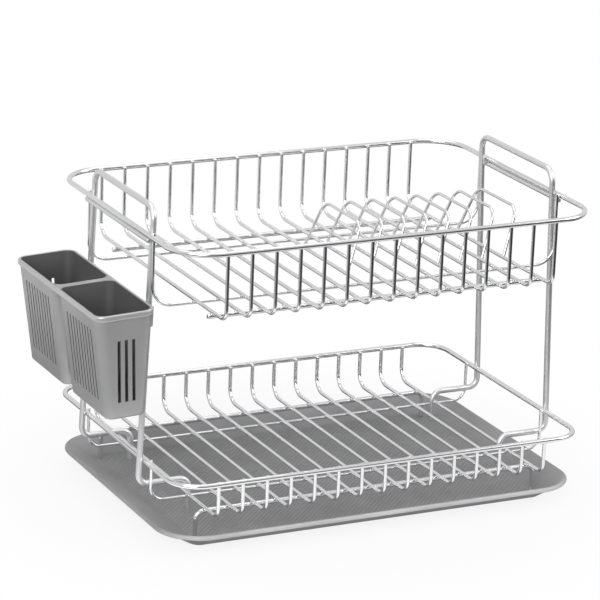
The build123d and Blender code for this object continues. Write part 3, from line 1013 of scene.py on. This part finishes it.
addPocket("caddyFrontPocket", -1, "caddy")
addPocket("caddyBackPocket", 1)
addRimBand()
addBridge()
for name, way in (("caddyFront", -1), ("caddyBack", 1)):
    addClip(name, way * (nodeBox("left_support")[1][1] - legRadius))
print("caddy made")


# Studio: pale floor, soft lamps, a pale room, and a sheet with a dark front that only reflections see

def rayShare(tree):
    # 1 for camera, glossy and transmission rays, 0 for the rest
    path = addNode(tree, "ShaderNodeLightPath")
    value = path.outputs["Is Camera Ray"]
    for name in ("Is Glossy Ray", "Is Transmission Ray"):
        larger = addNode(tree, "ShaderNodeMath", operation="MAXIMUM")
        tree.links.new(value, larger.inputs[0])
        tree.links.new(path.outputs[name], larger.inputs[1])
        value = larger.outputs["Value"]
    return value


ground = {
    "half": 60.0, "height": -0.3 * mm, "color": (0.92, 0.92, 0.92),
    "whiten": {"From Min": 0.2, "From Max": 0.42, "To Min": 0.88, "To Max": 1.0},
}


def addFloor():
    # a wide flat sheet; what looks at it sees white, by a share that grows with the distance from the
    # middle, and for the rest pale paint with the object's shadow
    half, z = ground["half"], ground["height"]
    corners = [(-half, -half, z), (half, -half, z), (half, half, z), (-half, half, z)]
    mesh = bpy.data.meshes.new("floor")
    mesh.from_pydata(corners, [], [(0, 1, 2, 3)])
    material, tree, output = bareMaterial("paleFloor")
    diffuse = addNode(tree, "ShaderNodeBsdfDiffuse", Color=(*ground["color"], 1.0))
    white = addNode(tree, "ShaderNodeEmission")
    coords = addNode(tree, "ShaderNodeTexCoord")
    away = addNode(tree, "ShaderNodeVectorMath", operation="LENGTH")
    whiten = addNode(tree, "ShaderNodeMapRange", interpolation_type="SMOOTHSTEP", **ground["whiten"])
    share = addNode(tree, "ShaderNodeMath", operation="MULTIPLY")
    mix = addNode(tree, "ShaderNodeMixShader")
    tree.links.new(rayShare(tree), share.inputs[0])
    join(
        tree,
        (coords, "Object", away, 0),
        (away, "Value", whiten, "Value"),
        (whiten, "Result", share, 1),
        (share, "Value", mix, "Fac"),
        (diffuse, "BSDF", mix, 1),
        (white, "Emission", mix, 2),
        (mix, "Shader", output, "Surface"),
    )
    mesh.materials.append(material)
    floor = addObject("floor", mesh)


mirrorSheet = {
    "height": 1 * mm, "inner": 0.012, "outer": 6.0, "rings": 110, "cornerSteps": 24,
    "frontAway": (0.0, 0.19, 0.23, 0.58, 0.68, 6.0), "frontLight": (0.97, 0.97, 0.18, 0.14, 0.03, 0.03),
    "backAway": (0.0, 0.02, 0.3, 0.45, 6.0), "backLight": (0.5, 0.12, 0.12, 0.65, 0.65), "leftLight": 0.3,
    "spacing": 2.5, "turning": 0.9,
}


def addMirrorSheet():
    # brightness by the distance outside the tray, one curve in front and one behind, blended by the
    # sine of the angle round the rack, with more on the left by the cosine squared; the distance is a
    # power of even steps, so the rings stand closer near the tray
    inner, outer = mirrorSheet["inner"], mirrorSheet["outer"]
    steps = np.linspace(0, 1, mirrorSheet["rings"])
    away = inner + (outer - inner) * steps ** mirrorSheet["spacing"]
    corner = tray["lipCorner"] + away
    loops = roundedLoop(trayHigh[0] + away, trayHigh[1] + away, corner, mirrorSheet["cornerSteps"])
    heading = unit(loops)
    front = np.interp(away, mirrorSheet["frontAway"], mirrorSheet["frontLight"])[:, None]
    back = np.interp(away, mirrorSheet["backAway"], mirrorSheet["backLight"])[:, None]
    behind = np.clip(0.5 + mirrorSheet["turning"] * heading[..., 1], 0, 1)
    left = mirrorSheet["leftLight"] * np.clip(-heading[..., 0], 0, 1) ** 2
    heights = np.full(loops.shape[:2] + (1,), mirrorSheet["height"])
    mesh = loftMesh("mirrorSheet", np.concatenate([loops, heights], -1), (False, False))
    setValues(mesh, "light", front * (1 - behind) + back * behind + left)
    material, tree, output = bareMaterial("mirrorLight")
    glow = addNode(tree, "ShaderNodeEmission")
    amount = addNode(tree, "ShaderNodeAttribute", attribute_name="light")
    join(tree, (amount, "Fac", glow, "Strength"), (glow, "Emission", output, "Surface"))
    mesh.materials.append(material)
    sheet = addObject("mirrorSheet", mesh)
    sheet.visible_camera = False
    sheet.visible_diffuse = False
    sheet.visible_shadow = False
    sheet.visible_transmission = False


lamps = {
    "keyLamp": {"place": (-1.8, -1.8, 1.5), "size": 1.8, "watts": 46.0},
    "sideLamp": {"place": (1.9, -1.0, 1.4), "size": 1.4, "watts": 18.0},
    "topLamp": {"place": (0.1, 0.5, 2.6), "size": 2.0, "watts": 14.0},
}
lampAim = {"target": (0, 0, 0.15), "level": (0, 1, 0.001)}


def addLamp(name, lamp):
    # a square area lamp aimed at the rack's middle
    data = bpy.data.lights.new(name, "AREA")
    data.size = lamp["size"]
    data.energy = lamp["watts"]
    place = np.array(lamp["place"])
    back = unit(place - np.array(lampAim["target"]))
    right = unit(np.cross(lampAim["level"], back))
    setPlace(addObject(name, data), right, np.cross(back, right), back, place)


room = {
    "evenLight": 0.34, "backLean": 0.45,
    "paleUpward": {"From Min": -0.3, "From Max": 0.2, "To Min": 0.08, "To Max": 0.92},
}


def addRoom():
    # seen rays meet a room that goes from dark to pale with z plus a share of y, so it is pale above and
    # behind and dark low in front; the rest meet even grey
    world = bpy.data.worlds.new("room")
    bpy.context.scene.world = world
    world.use_nodes = True
    tree = world.node_tree
    tree.nodes.clear()
    output = addNode(tree, "ShaderNodeOutputWorld")
    seen = addNode(tree, "ShaderNodeBackground")
    lit = addNode(tree, "ShaderNodeBackground", Strength=room["evenLight"])
    coords = addNode(tree, "ShaderNodeTexCoord")
    split = addNode(tree, "ShaderNodeSeparateXYZ")
    lean = addNode(tree, "ShaderNodeMath", operation="MULTIPLY_ADD")
    lean.inputs[1].default_value = room["backLean"]
    ramp = addNode(tree, "ShaderNodeMapRange", interpolation_type="SMOOTHSTEP", **room["paleUpward"])
    path = addNode(tree, "ShaderNodeLightPath")
    direct = addNode(tree, "ShaderNodeMath", operation="MAXIMUM")
    mix = addNode(tree, "ShaderNodeMixShader")
    tree.links.new(rayShare(tree), mix.inputs["Fac"])
    join(
        tree,
        (coords, "Generated", split, "Vector"),
        (split, "Y", lean, 0),
        (split, "Z", lean, 2),
        (lean, "Value", ramp, "Value"),
        (ramp, "Result", direct, 0),
        (path, "Is Camera Ray", direct, 1),
        (direct, "Value", seen, "Strength"),
        (lit, "Background", mix, 1),
        (seen, "Background", mix, 2),
        (mix, "Shader", output, "Surface"),
    )


addFloor()
addMirrorSheet()
for name, lamp in lamps.items():
    addLamp(name, lamp)
addRoom()
bpy.context.scene.view_settings.view_transform = "Standard"
print("studio made")
